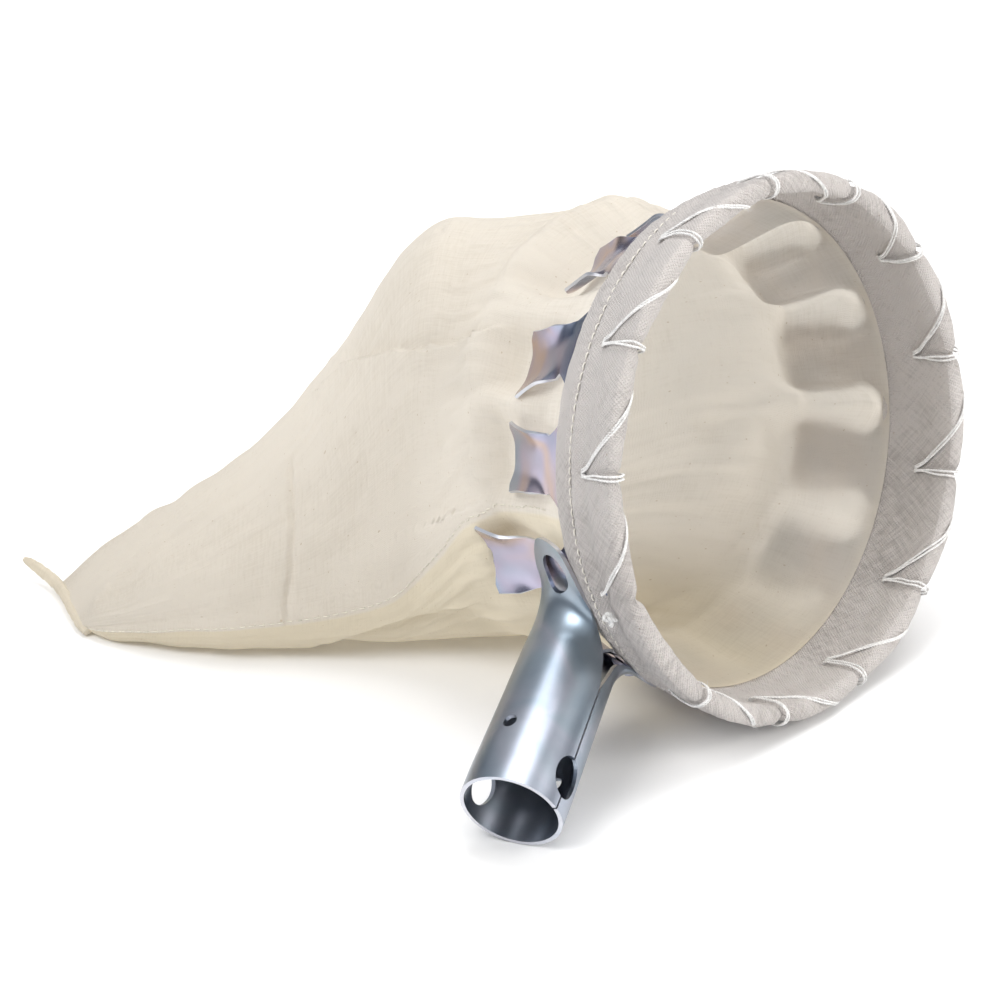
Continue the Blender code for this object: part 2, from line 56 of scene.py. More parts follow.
# Crown: a rolled strip with one finger and one lacing hole at each station
STATIONS = 13
SOCKET_HALF_GAP = math.radians(16.2)
PITCH = (math.tau - 2 * SOCKET_HALF_GAP) / (STATIONS - 1)
SHEET = 1.0 * MM
FRONT_RADIUS = 78.3 * MM
BAND_TAPER = 0.1
BAND_CURVE = 3.2
BAND_DEPTH = 29.5 * MM
NOTCH_DEPTH = 22.8 * MM
FINGER_DEPTH = 49.5 * MM
EAR_FINGER_DEPTH = 63.5 * MM
FINGER_HALF_WIDTH = 9.0 * MM
GUTTER_HEIGHT = 4.2 * MM
TIP_NOTCH = 0.9 * MM
TIP_SHOULDER = 0.8 * MM
TIP_CORNER = 1.1 * MM
# How far each finger is bent in, in mm, and between which setbacks
TIP_BEND = (0.0, 0.636, 1.06, 1.484, 2.12, 3.392, 5.512, 6.996, 6.996, 5.512, 2.12, 1.166, 0.0)
TIP_BEND_START = 18.0 * MM
TIP_BEND_END = 52.0 * MM
LEANING_STATION = 10
TIP_LEAN = 4.8 * MM
EAR_FINGER_SPLAY = 8.5 * MM
SPLAY_START = 41.0 * MM
EAR_GUTTER_START = 45.0 * MM
GUTTER_RUN = 9.0 * MM
HOLE_SETBACK = 11.4 * MM

# Socket: a rolled tube whose inner end opens into two ears
SOCKET_SHEET = 1.2 * MM
SOCKET_TILT = math.radians(15.0)
SOCKET_SKEW = math.radians(-2.0)
SOCKET_SETBACK = 32.6 * MM
SOCKET_REACH = 62.6 * MM
SOCKET_STRAIGHT = 9.0 * MM
MOUTH_RADIUS = 15.2 * MM
THROAT_RADIUS = 14.0 * MM
SEAM_HALF_GAP = 0.35 * MM
EAR_SETBACK = 31.6 * MM
EAR_HALF_WIDTH = 11.0 * MM
EAR_HOLE_OFFSET = 22.6 * MM
EAR_LENGTH = 24.5 * MM
EAR_GAP = 0.85 * MM
EAR_HOLE_DIAMETER = 11.6 * MM
NAIL_HOLE_DIAMETER = 4.3 * MM
NAIL_HOLE_HEIGHT = 20.7 * MM
POLE_HOLE_SIZE = (10.4 * MM, 13.6 * MM)
POLE_HOLE_HEIGHT = 11.0 * MM
BEND_START = 9.0 * MM
BEND_RUN = 10.0 * MM

# Hem and lacing
STITCH_SETBACK = 17.0 * MM
HEM_BACK = 24.4 * MM
HEM_PUCKERS = 155
TWINE_FRONT = 3.3 * MM
TWINE_RADIUS = 0.36 * MM
TWINE_LAY = 1.9 * MM
KNOT_RADIUS = 0.46 * MM
KNOT_LAY = 2.4 * MM

# Bag: a grid of rows from the hem to the closed end and columns round it
NECK_SETBACKS = (20.5, 23.0, 27.0, 31.0, 36.0, 41.0, 46.0, 51.0, 55.0)
NECK_END = 52.0 * MM
NECK_LEVEL = 67.4 * MM
COLUMNS = 560
SACK_ROWS = 300
UPPER_POWER = 0.95
BAG_GIRTH = 440.0 * MM
BLEND_START = 46.0 * MM
BLEND_END = 100.0 * MM


def ring_matrix():
    turn = Matrix.Rotation(MOUTH_AZIMUTH, 4, "Z")
    tip = Matrix.Rotation(math.pi / 2 - MOUTH_ELEVATION, 4, "Y")
    roll = Matrix.Rotation(SOCKET_ROLL, 4, "Z")
    return np.array(Matrix.Translation(Vector(RING_CENTRE)) @ turn @ tip @ roll)


RING = ring_matrix()
MOUTH_AXIS = RING[:3, 2]


def to_world(points):
    return np.asarray(points) @ RING[:3, :3].T + RING[:3, 3]


def smooth(low, high, value):
    share = np.clip((np.asarray(value, float) - low) / (high - low), 0, 1)
    return share * share * (3 - 2 * share)


def bell(value, width):
    return np.exp(-(np.asarray(value) / width) ** 2)


def unit(rows):
    """Each row of numbers scaled to length one."""
    return rows / np.maximum(np.linalg.norm(rows, axis=-1, keepdims=True), 1e-12)


def distances(path):
    """How far along a path each of its points is."""
    return np.concatenate([[0], np.cumsum(np.linalg.norm(np.diff(path, axis=0), axis=1))])


def band_radius(setback):
    """Radius of the middle of the crown's sheet, which narrows towards the fingers."""
    setback = np.maximum(setback, 0.0)
    return FRONT_RADIUS - BAND_TAPER * setback - BAND_CURVE * setback * setback


def station_angles():
    return SOCKET_HALF_GAP + PITCH * np.arange(STATIONS)


def tip_bend(angle, setback):
    """How far the fingers are bent in towards the mouth's axis, which differs round the ring."""
    turns = station_angles()
    turns = np.concatenate([turns[-1:] - math.tau, turns, turns[:1] + math.tau])
    bends = np.array(TIP_BEND)
    bends = np.concatenate([bends[-1:], bends, bends[:1]]) * MM
    amount = np.interp(np.mod(angle, math.tau), turns, bends)
    return amount * smooth(TIP_BEND_START, TIP_BEND_END, setback)


def station_offset(angle):
    """Signed arc in metres from a ring angle to the nearest station."""
    turns = station_angles()
    gap = (np.asarray(angle)[..., None] - turns + math.pi) % math.tau - math.pi
    nearest = np.argmin(np.abs(gap), axis=-1)
    return np.take_along_axis(gap, nearest[..., None], -1)[..., 0] * FRONT_RADIUS


def clouds(points, scale, seed):
    """Soft noise of about -1 to 1 with features of about that scale in metres."""
    points = np.asarray(points)
    flat = points.reshape(-1, points.shape[-1]) / scale + seed * 7.31
    made = np.array([noise.noise(Vector(point)) for point in flat])
    return made.reshape(points.shape[:-1])


def normals_of(grid):
    """Unit normals of a (rows, columns, 3) grid whose columns wrap round."""
    along = np.gradient(grid, axis=0)
    across = (np.roll(grid, -1, 1) - np.roll(grid, 1, 1)) / 2
    return unit(np.cross(across, along))


def line_distance(points, line):
    """Distance from each point to a polyline, how far along the nearest place is, and its height."""
    flat = points.reshape(-1, 3)
    best = np.full(len(flat), np.inf)
    where = np.zeros(len(flat))
    level = np.zeros(len(flat))
    for index in range(len(line) - 1):
        a, b = line[index], line[index + 1]
        along = b - a
        share = np.clip(((flat - a) @ along) / (along @ along), 0, 1)
        away = np.linalg.norm(flat - a - share[:, None] * along, axis=1)
        closer = away < best
        best = np.where(closer, away, best)
        where = np.where(closer, (index + share) / (len(line) - 1), where)
        level = np.where(closer, a[2] + share * along[2], level)
    shape = points.shape[:-1]
    return best.reshape(shape), where.reshape(shape), level.reshape(shape)


# ---------------------------------------------------------------- meshes

def placed(name, data):
    made = bpy.data.objects.new(name, data)
    bpy.context.scene.collection.objects.link(made)
    return made


def mesh_object(name, vertices, faces, *finishes):
    mesh = bpy.data.meshes.new(name)
    mesh.from_pydata(vertices.tolist(), [], faces)
    mesh.shade_smooth()
    for finish in finishes:
        mesh.materials.append(finish)
    return placed(name, mesh)


def grid_object(name, grid, finish, around, along, shade=None):
    """A (rows, columns, 3) grid whose columns wrap round. Its cloth is laid out by how far around
    each column is, with one value more to close it, and how far along each row is."""
    rows, columns = grid.shape[:2]
    i, j = np.meshgrid(np.arange(rows - 1), np.arange(columns), indexing="ij")
    corners = [(i, j), (i, j + 1), (i + 1, j + 1), (i + 1, j)]
    faces = np.stack([a * columns + b % columns for a, b in corners], -1)
    made = mesh_object(name, grid.reshape(-1, 3), faces.reshape(-1, 4).tolist(), finish)
    layer = made.data.uv_layers.new(name="UVMap")
    places = np.stack([np.stack([around[b], along[a]], -1) for a, b in corners], -2)
    layer.data.foreach_set("uv", places.reshape(-1).astype(np.float32))
    if shade is not None:
        attribute = made.data.attributes.new("shade", "FLOAT", "POINT")
        attribute.data.foreach_set("value", shade.reshape(-1).astype(np.float32))
    return made


def tube_frame(path):
    """Two directions across a path at each point, turning no more than the path does."""
    along = unit(np.gradient(path, axis=0))
    side = np.zeros_like(path)
    side[0] = unit(np.cross(along[0], (0.31, 0.77, 0.55)))
    for index in range(1, len(path)):
        side[index] = unit(side[index - 1] - along[index] * (side[index - 1] @ along[index]))
    return side, np.cross(along, side)


def tubes_object(name, tubes, finish):
    """One mesh of many capped tubes. Each tube is (path, radius, sides)."""
    vertices, faces, total = [], [], 0
    for path, radius, sides in tubes:
        side, up = tube_frame(path)
        angles = (math.tau * np.arange(sides) / sides)[None, :, None]
        rings = path[:, None] + (side[:, None] * np.cos(angles) + up[:, None] * np.sin(angles)) * radius
        rows = len(path)
        vertices.append(rings.reshape(-1, 3))
        i, j = np.meshgrid(np.arange(rows - 1), np.arange(sides), indexing="ij")
        quads = np.stack([i * sides + j, i * sides + (j + 1) % sides,
                          (i + 1) * sides + (j + 1) % sides, (i + 1) * sides + j], -1)
        faces += (quads.reshape(-1, 4) + total).tolist()
        faces.append([total + k for k in range(sides)][::-1])
        faces.append([total + (rows - 1) * sides + k for k in range(sides)])
        total += rows * sides
    return mesh_object(name, np.concatenate(vertices), faces, finish)


def resample(path, step):
    """Points about one step apart along a path."""
    lengths = distances(path)
    count = max(2, int(round(lengths[-1] / step)) + 1)
    at = np.linspace(0, lengths[-1], count)
    return np.stack([np.interp(at, lengths, path[:, k]) for k in range(3)], 1)


def spline(points, count):
    """Catmull-Rom curve through rows of numbers."""
    points = np.asarray(points, float)
    padded = np.concatenate([2 * points[:1] - points[1:2], points, 2 * points[-1:] - points[-2:-1]])
    at = np.linspace(0, len(points) - 1, count)
    index = np.minimum(at.astype(int), len(points) - 2)
    t = (at - index)[:, None]
    a, b, c, d = (padded[index + k] for k in range(4))
    return 0.5 * (2 * b + (c - a) * t + (2 * a - 5 * b + 4 * c - d) * t ** 2
                  + (3 * b - a - 3 * c + d) * t ** 3)


# ---------------------------------------------------------------- materials

def new_material(name):
    made = bpy.data.materials.new(name)
    made.use_nodes = True
    tree = made.node_tree
    return made, tree, tree.nodes["Principled BSDF"]


def feed(tree, made, inputs):
    """Gives inputs of a node a value each, or links them to other nodes' outputs."""
    for key, value in inputs.items():
        if isinstance(value, bpy.types.NodeSocket):
            tree.links.new(value, made.inputs[key])
        else:
            made.inputs[key].default_value = value


def node(tree, kind, inputs=None, **settings):
    made = tree.nodes.new(kind)
    for key, value in settings.items():
        setattr(made, key, value)
    feed(tree, made, inputs or {})
    return made


def ramp(tree, source, stops):
    """Colour that runs through the stops as the source's value rises."""
    made = node(tree, "ShaderNodeValToRGB", {"Fac": source})
    elements = made.color_ramp.elements
    while len(elements) < len(stops):
        elements.new(0.5)
    for element, (place, colour) in zip(elements, stops):
        element.position = place
        element.color = (*colour, 1.0)
    return made.outputs["Color"]


def noise_at(tree, place, scale, detail, distortion=0.0):
    made = node(tree, "ShaderNodeTexNoise", {"Vector": place, "Scale": scale, "Detail": detail,
                                             "Distortion": distortion})
    return made.outputs


def multiplied(tree, factor, first, second):
    """The first colour times the second, as strongly as the factor says."""
    made = node(tree, "ShaderNodeMix", {"Factor": factor, 6: first, 7: second}, data_type="RGBA",
                blend_type="MULTIPLY")
    return made.outputs[2]


def bumped(tree, height, strength, depth):
    made = node(tree, "ShaderNodeBump", {"Height": height, "Strength": strength, "Distance": depth})
    return made.outputs["Normal"]


def thread_waves(tree, place, thread):
    """Crossed threads of that width, wobbled a little, as one height."""
    wobble = noise_at(tree, place, 260.0, 2.0)["Color"]
    shift = node(tree, "ShaderNodeMix", {"Factor": 0.0012, 4: place, 5: wobble}, data_type="VECTOR")
    waves = {}
    for index, direction in enumerate("XY"):
        wave = node(tree, "ShaderNodeTexWave", {"Vector": shift.outputs[1],
                                                "Scale": math.tau / (20 * thread)},
                    bands_direction=direction)
        waves[index] = wave.outputs["Fac"]
    return node(tree, "ShaderNodeMath", waves, operation="MULTIPLY").outputs[0]


def slub_streaks(tree, place):
    """Threads that are thicker in places, along both directions of the weave."""
    streaks = {}
    for index, stretch in enumerate(((260.0, 22.0, 1.0), (22.0, 260.0, 1.0))):
        stretched = node(tree, "ShaderNodeMapping", {"Vector": place, "Scale": stretch})
        streaks[index] = noise_at(tree, stretched.outputs["Vector"], 5.0, 3.0)["Fac"]
    return node(tree, "ShaderNodeMath", streaks, operation="ADD").outputs[0]


def cloth_colour(tree, uv, streaks, light, dark):
    """Streaked and patchy cotton, warmer where "shade" is high, with seed flecks."""
    patches = noise_at(tree, uv, 14.0, 4.0)["Fac"]
    tone = node(tree, "ShaderNodeMath", {0: streaks, 1: 0.5, 2: patches}, operation="MULTIPLY_ADD")
    colours = ramp(tree, tone.outputs[0], [(0.6, dark), (1.0, light)])
    shade = node(tree, "ShaderNodeAttribute", attribute_name="shade").outputs["Fac"]
    warmed = multiplied(tree, shade, colours, (1.0, 0.965, 0.845, 1.0))
    seeds = noise_at(tree, uv, 700.0, 1.0)["Fac"]
    flecks = ramp(tree, seeds, [(0.73, (1, 1, 1)), (0.79, (0.66, 0.58, 0.46))])
    return multiplied(tree, 0.6, warmed, flecks)


def muslin(name, light, dark, thread, see_through, diagonal, depth):
    """Plain weave cotton with slubs that some light comes through; diagonal is the weave's angle."""
    made, tree, shader = new_material(name)
    uv = node(tree, "ShaderNodeUVMap", uv_map="UVMap").outputs["UV"]
    turned = node(tree, "ShaderNodeMapping", {"Vector": uv, "Rotation": (0, 0, math.radians(diagonal))})
    place = turned.outputs["Vector"]
    streaks = slub_streaks(tree, place)
    height = node(tree, "ShaderNodeMath", {0: thread_waves(tree, place, thread), 1: streaks},
                  operation="ADD")
    normal = bumped(tree, height.outputs[0], 0.55, depth)
    colour = cloth_colour(tree, uv, streaks, light, dark)
    feed(tree, shader, {"Base Color": colour, "Normal": normal, "Roughness": 0.95,
                        "Specular IOR Level": 0.15, "Sheen Weight": 0.25, "Sheen Roughness": 0.5})
    through = node(tree, "ShaderNodeBsdfTranslucent", {"Color": colour, "Normal": normal})
    both = node(tree, "ShaderNodeMixShader", {"Fac": see_through, 1: shader.outputs["BSDF"],
                                              2: through.outputs["BSDF"]})
    feed(tree, tree.nodes["Material Output"], {"Surface": both.outputs["Shader"]})
    return made


def cotton(name, colour):
    """Spun thread: fibres and a little sheen."""
    made, tree, shader = new_material(name)
    place = node(tree, "ShaderNodeTexCoord").outputs["Object"]
    fibres = noise_at(tree, place, 900.0, 4.0)["Fac"]
    dark = tuple(0.74 * channel for channel in colour)
    feed(tree, shader, {"Base Color": ramp(tree, fibres, [(0.3, dark), (0.7, colour)]),
                        "Normal": bumped(tree, fibres, 0.5, 0.1 * MM),
                        "Roughness": 0.8, "Sheen Weight": 0.3})
    return made


def zinc(name, stops, roughness):
    """Zinc plate with the chromate's soft rainbow, duller in worn patches. Given the edge stops, it
    paints a highlight on the rims and bevels instead.
    """
    made, tree, shader = new_material(name)
    place = node(tree, "ShaderNodeTexCoord").outputs["Object"]
    drift = noise_at(tree, place, 34.0, 2.5, 0.6)["Fac"]
    marks = noise_at(tree, place, 60.0, 5.0)["Fac"]
    worn = ramp(tree, marks, [(0.35, (0.80, 0.80, 0.82)), (0.65, (1.0, 1.0, 1.0))])
    feed(tree, shader, {"Base Color": multiplied(tree, 0.8, ramp(tree, drift, stops), worn),
                        "Normal": bumped(tree, marks, 0.12, 0.1 * MM),
                        "Metallic": 1.0, "Roughness": roughness})
    return made


RAINBOW = [(0.25, (0.30, 0.38, 0.50)), (0.42, (0.40, 0.45, 0.57)), (0.50, (0.48, 0.44, 0.55)),
           (0.56, (0.60, 0.47, 0.42)), (0.62, (0.47, 0.44, 0.55)), (0.78, (0.30, 0.40, 0.53))]
STEEL_BLUE = [(0.25, (0.27, 0.35, 0.42)), (0.45, (0.36, 0.42, 0.48)), (0.55, (0.42, 0.45, 0.52)),
              (0.75, (0.30, 0.38, 0.45))]
# Painted edge highlight: a light silvery blue for the sheets' rims and bevels, lighter than the plating
PAINTED_EDGE_HIGHLIGHT = [(0.3, (0.62, 0.66, 0.74)), (0.5, (0.74, 0.74, 0.78)), (0.7, (0.66, 0.70, 0.78))]


# ---------------------------------------------------------------- crown

def finger_point(index, angle, column, share):
    """Ring-frame point of a finger: share 0 is its root and 1 its tip, column -1 to 1."""
    near_socket = index == STATIONS - 1
    edge = abs(column)
    # The tip is a shallow fishtail with its corners taken off
    fishtail = TIP_NOTCH * smooth(0.3, 0.8, edge) - TIP_SHOULDER * smooth(0.8, 1.0, edge)
    corner = TIP_CORNER * max(0.0, edge - 0.86) / 0.14
    depth = EAR_FINGER_DEPTH if near_socket else FINGER_DEPTH
    setback = BAND_DEPTH + share * (depth + fishtail - corner - BAND_DEPTH)
    widen = 1 - 0.06 * math.sin(math.pi * share) + 0.1 * share ** 3
    start = EAR_GUTTER_START if near_socket else BAND_DEPTH
    lift = GUTTER_HEIGHT * edge ** 3 * float(smooth(start, start + GUTTER_RUN, setback))
    lean = TIP_LEAN * share ** 0.6 if index == LEANING_STATION else 0.0
    turn = (column * FINGER_HALF_WIDTH * widen + lean) / band_radius(setback)
    radius = band_radius(setback) + lift - float(tip_bend(angle, setback))
    if near_socket:
        radius += EAR_FINGER_SPLAY * max(0.0, (setback - SPLAY_START) / (depth - SPLAY_START)) ** 1.2
    return (radius * math.cos(angle + turn), radius * math.sin(angle + turn), -setback)


def band_point(angle, setback):
    radius = band_radius(setback) - float(tip_bend(angle, setback))
    return (radius * math.cos(angle), radius * math.sin(angle), -setback)


def crown_mesh():
    """One sheet: columns round the ring, each with band rows and, on a finger, finger rows."""
    columns = np.sin(np.linspace(-1, 1, 23) * math.pi / 2 * 0.97) / math.sin(math.pi / 2 * 0.97)
    shares = np.linspace(0, 1, 15)[1:]
    half_pitch = FRONT_RADIUS * PITCH / 2
    notch = []
    for share in (0.06, 0.14, 0.26, 0.42, 0.62, 0.82, 1.0):
        reach = FINGER_HALF_WIDTH + share * (half_pitch - FINGER_HALF_WIDTH)
        notch.append((reach, NOTCH_DEPTH + (BAND_DEPTH - NOTCH_DEPTH) * (1 - share) ** 2.4))
    vertices, faces, previous = [], [], None
    for index, angle in enumerate(station_angles()):
        strip = [(angle - reach / FRONT_RADIUS, depth, None) for reach, depth in reversed(notch)]
        strip += [(angle + c * FINGER_HALF_WIDTH / FRONT_RADIUS, BAND_DEPTH, c) for c in columns]
        strip += [(angle + reach / FRONT_RADIUS, depth, None) for reach, depth in notch]
        if previous:
            strip = strip[1:]
        for turn, depth, column in strip:
            rows, finger = [], []
            for share in np.linspace(0, 1, 8):
                rows.append(len(vertices))
                vertices.append(band_point(turn, share * depth))
            if column is not None:
                finger.append(rows[-1])
                for share in shares:
                    finger.append(len(vertices))
                    vertices.append(finger_point(index, angle, column, share))
            if previous:
                faces += strip_faces(previous[0], rows)
                if previous[1] and finger:
                    faces += strip_faces(previous[1], finger)
            previous = (rows, finger)
    return np.array(vertices), faces


def strip_faces(left, right):
    return [(left[i], right[i], right[i + 1], left[i + 1]) for i in range(len(left) - 1)]


def sheet_metal(name, vertices, faces, finishes, gauge, even=True):
    """Ring-frame sheet of that gauge, with the first finish on its faces and the second, the painted
    edge highlight, on its edges.
    """
    made = mesh_object(name, to_world(vertices), faces, *finishes)
    solid = made.modifiers.new("gauge", "SOLIDIFY")
    solid.thickness = gauge
    solid.offset = 0.0
    solid.use_even_offset = even
    # The rims take the second finish, the painted edge highlight
    solid.material_offset_rim = 1
    return made


def rounded_edges(made, width):
    bevel = made.modifiers.new("edges", "BEVEL")
    # The bevels take the second finish, the painted edge highlight
    bevel.material = 1
    bevel.width = width
    bevel.segments = 2
    bevel.limit_method = "ANGLE"
    bevel.angle_limit = math.radians(50)
    bevel.harden_normals = False
    flat = made.modifiers.new("shading", "WEIGHTED_NORMAL")
    flat.keep_sharp = True


def make_crown():
    vertices, faces = crown_mesh()
    # The second finish paints a highlight on the crown's rims and bevels
    finishes = [zinc("crown_plating", RAINBOW, 0.26), zinc("crown_painted_edge_highlight", PAINTED_EDGE_HIGHLIGHT, 0.34)]
    crown = sheet_metal("crown_plate", vertices, faces, finishes, SHEET)
    rounded_edges(crown, 0.22 * MM)
    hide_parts("crown_ring")
    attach(crown, "picker")


# ---------------------------------------------------------------- socket

def socket_axes():
    origin = Vector((78 * MM, 0.0, -SOCKET_SETBACK))
    tilt = Matrix.Rotation(-SOCKET_TILT, 3, "Y")
    skew = Matrix.Rotation(SOCKET_SKEW, 3, "Z")
    axis = skew @ (tilt @ Vector((1, 0, 0)))
    side = skew @ Vector((0, 1, 0))
    return origin, axis, side, axis.cross(side)


ORIGIN, AXIS, SIDE, SEAM = socket_axes()


def tube_point(turn, distance):
    """Point on the round tube, turned from its seam, at a distance from the ears."""
    share = min(1.0, max(0.0, distance / (SOCKET_REACH - SOCKET_STRAIGHT)))
    radius = THROAT_RADIUS + (MOUTH_RADIUS - THROAT_RADIUS) * share ** 1.5 - SOCKET_SHEET / 2
    return ORIGIN + AXIS * distance + (SIDE * math.sin(turn) + SEAM * math.cos(turn)) * radius


def ear_point(across, setback):
    """Point on the ears, which lie on the crown's outside."""
    radius = float(band_radius(setback)) + SHEET / 2 + SOCKET_SHEET / 2 + EAR_GAP
    angle = across / float(band_radius(setback))
    return Vector((radius * math.cos(angle), radius * math.sin(angle), -setback))


def flare_point(turn, length):
    """Point where the tube opens into an ear: round the bend, then along the crown."""
    hand = 1 if turn >= 0 else -1
    foot = tube_point(turn, BEND_START)
    setback = EAR_SETBACK - EAR_HALF_WIDTH * 1.25 * math.cos(turn)
    setback = min(max(setback, EAR_SETBACK - EAR_HALF_WIDTH), EAR_SETBACK + EAR_HALF_WIDTH)
    corner = ear_point(foot.y, setback)
    landing = ear_point(foot.y + hand * BEND_RUN, setback)
    bend_length = 1.35 * BEND_RUN + 0.25 * BEND_START
    if length > bend_length:
        return ear_point(foot.y + hand * (BEND_RUN + length - bend_length), setback)
    share = length / bend_length
    return foot * (1 - share) ** 2 + corner * 2 * share * (1 - share) + landing * share ** 2


def socket_point(turn, share):
    """Point of the rolled sheet: share 0 is the socket's mouth and 1 its inner edge."""
    off_side = min(abs(turn), abs(math.pi - abs(turn)))
    rise = math.sin(min(math.pi / 2, 1.25 * off_side))
    shortest = -10 * MM if abs(turn) < math.pi / 2 else -5 * MM
    flare = shortest + (EAR_LENGTH - shortest) * rise
    straight = SOCKET_REACH - BEND_START
    length = share * (straight + flare)
    if length <= straight:
        return tube_point(turn, SOCKET_REACH - length)
    return flare_point(turn, length - straight)


def pin(name, centre, direction, size, length):
    """Cutter for an oval hole; size is along the socket's axis and across it."""
    work = bmesh.new()
    bmesh.ops.create_cone(work, cap_ends=True, segments=40, radius1=0.5, radius2=0.5, depth=1.0)
    turn = direction.to_track_quat("Z", "Y").to_matrix().to_4x4()
    upward = turn.inverted() @ AXIS
    spin = Matrix.Rotation(math.atan2(upward.y, upward.x), 4, "Z")
    scale = Matrix.Diagonal((size[1], size[0], length, 1.0))
    whole = Matrix(RING.tolist()) @ Matrix.Translation(centre) @ turn @ spin @ scale
    bmesh.ops.transform(work, matrix=whole, verts=work.verts)
    mesh = bpy.data.meshes.new(name)
    work.to_mesh(mesh)
    work.free()
    return placed(name, mesh)


def punched(made, pins):
    """Cuts the pins out of a sheet part and keeps the result as plain geometry."""
    for cutter in pins:
        hole = made.modifiers.new(cutter.name, "BOOLEAN")
        hole.operation = "DIFFERENCE"
        hole.solver = "EXACT"
        hole.object = cutter
    bpy.context.view_layer.update()
    graph = bpy.context.evaluated_depsgraph_get()
    mesh = bpy.data.meshes.new_from_object(made.evaluated_get(graph))
    made.modifiers.clear()
    made.data = mesh
    for cutter in pins:
        bpy.data.objects.remove(cutter, do_unlink=True)


def make_socket():
    edge = SEAM_HALF_GAP / MOUTH_RADIUS
    turns = np.linspace(edge, math.tau - edge, 105)
    shares = np.concatenate([np.linspace(0, 0.55, 12), np.linspace(0.58, 1.0, 26)])
    vertices, faces, previous = [], [], None
    for turn in turns:
        signed = turn if turn <= math.pi else turn - math.tau
        rows = []
        for share in shares:
            rows.append(len(vertices))
            vertices.append(tuple(socket_point(signed, share)))
        if previous:
            faces += strip_faces(previous, rows)
        previous = rows
    # The second finish paints a highlight on the socket's rims and bevels
    finishes = [zinc("socket_plating", STEEL_BLUE, 0.34), zinc("socket_painted_edge_highlight", PAINTED_EDGE_HIGHLIGHT, 0.34)]
    socket = sheet_metal("socket_tube", np.array(vertices), faces, finishes, SOCKET_SHEET, even=False)
    pole = ORIGIN + AXIS * (SOCKET_REACH - POLE_HOLE_HEIGHT)
    nail = ORIGIN + AXIS * (SOCKET_REACH - NAIL_HOLE_HEIGHT)
    pins = [pin("pole_pin", pole, SEAM, POLE_HOLE_SIZE, 40 * MM),
            pin("nail_pin", nail, SIDE, (NAIL_HOLE_DIAMETER,) * 2, 40 * MM)]
    for hand in (1, -1):
        centre = ear_point(hand * EAR_HOLE_OFFSET, EAR_SETBACK)
        outward = Vector((centre.x, centre.y, 0.0)).normalized()
        pins.append(pin("ear_pin", centre, outward, (EAR_HOLE_DIAMETER,) * 2, 6 * MM))
    punched(socket, pins)
    rounded_edges(socket, 0.25 * MM)
    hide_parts("pole_socket")
    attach(socket, "picker")


# ---------------------------------------------------------------- hem

def hem_profile():
    """Outer flap, round front roll and inner flap as (setback, lift from the crown's middle)."""
    outer = [(HEM_BACK / MM, 1.05), (21.0, 1.55), (19.2, 1.9), (17.0, 1.5), (15.0, 2.3),
             (12.5, 1.75), (10.0, 1.35), (8.0, 2.0), (5.0, 2.65), (2.0, 2.65)]
    roll = []
    for turn in range(15, 180, 15):
        angle = math.radians(turn)
        roll.append((-2.35 * math.sin(angle), 2.65 * math.cos(angle)))
    inner = [(2.0, -2.6), (5.0, -2.3), (8.0, -1.9), (10.0, -1.7), (12.5, -1.75), (15.0, -1.75),
             (19.0, -1.65), (23.0, -1.6)]
    return spline(np.array(outer + roll + inner) * MM, 84)


def from_ring(angle, setback, radius):
    return to_world(np.stack([radius * np.cos(angle), radius * np.sin(angle), -setback], -1))


def make_hem():
    count = 900
    profile = hem_profile()
    angle = np.repeat(math.tau * np.arange(count)[None] / count, len(profile), 0)
    setback = np.repeat(profile[:, :1], count, 1)
    lift = np.repeat(profile[:, 1:], count, 1)
    offset = station_offset(angle)
    circle = np.stack([np.cos(angle), np.sin(angle), setback * 12], -1) * 78 * MM
    # The twine pinches the front roll and draws in each hole, and the cloth stands out between
    front = smooth(12 * MM, 0, setback)
    hole = bell(offset, 2.3 * MM) * bell(setback - HOLE_SETBACK, 2.4 * MM)
    pinch = bell(offset, 2.0 * MM) * front
    between = (1 - bell(offset, 9 * MM)) * front
    puff = 0.65 * between - 0.85 * pinch - 0.95 * hole
    wave = 0.50 * clouds(circle, 9 * MM, 1) + 0.26 * clouds(circle, 3.6 * MM, 2)
    stitch = -0.35 * bell(setback - STITCH_SETBACK, 0.8 * MM)
    pucker = 0.16 * np.sin(angle * HEM_PUCKERS) * bell(setback - STITCH_SETBACK, 3.0 * MM)
    outward = np.sign(lift) * smooth(0, 1.2 * MM, np.abs(lift))
    extra = (puff + wave + stitch + pucker) * MM * outward
    edge = smooth(17 * MM, 23 * MM, setback) * (lift > 0)
    setback = setback + edge * 0.5 * MM * clouds(circle, 16 * MM, 3)
    setback = setback + 1.0 * MM * front * pinch - 0.35 * MM * between * smooth(2 * MM, -1 * MM, setback)
    grid = from_ring(angle, setback, band_radius(setback) + lift + extra)
    around = np.arange(count + 1) / count * math.tau * FRONT_RADIUS
    cloth = muslin("hem_cloth", light=(0.64, 0.60, 0.575), dark=(0.34, 0.31, 0.295),
                   thread=0.75 * MM, see_through=0.20, diagonal=38.0, depth=0.75 * MM)
    hem = grid_object("hem_cloth_fold", grid, cloth, around, distances(profile))
    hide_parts("bag_hem")
    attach(hem, "picker")
    return hem


def stitch_paths(path, normal, pitch, length, sink, lift):
    """Short threads along a path, each with both ends going down into the cloth."""
    lengths = distances(path)
    made, start = [], 0.3 * pitch
    while start + length < lengths[-1]:
        at = np.linspace(start, start + length, 7)
        rise = np.sin(np.linspace(0, math.pi, 7)) ** 0.5
        points = np.stack([np.interp(at, lengths, path[:, k]) for k in range(3)], 1)
        outward = np.stack([np.interp(at, lengths, normal[:, k]) for k in range(3)], 1)
        made.append(points + outward * (sink + (lift - sink) * rise)[:, None])
        start += pitch
    return made


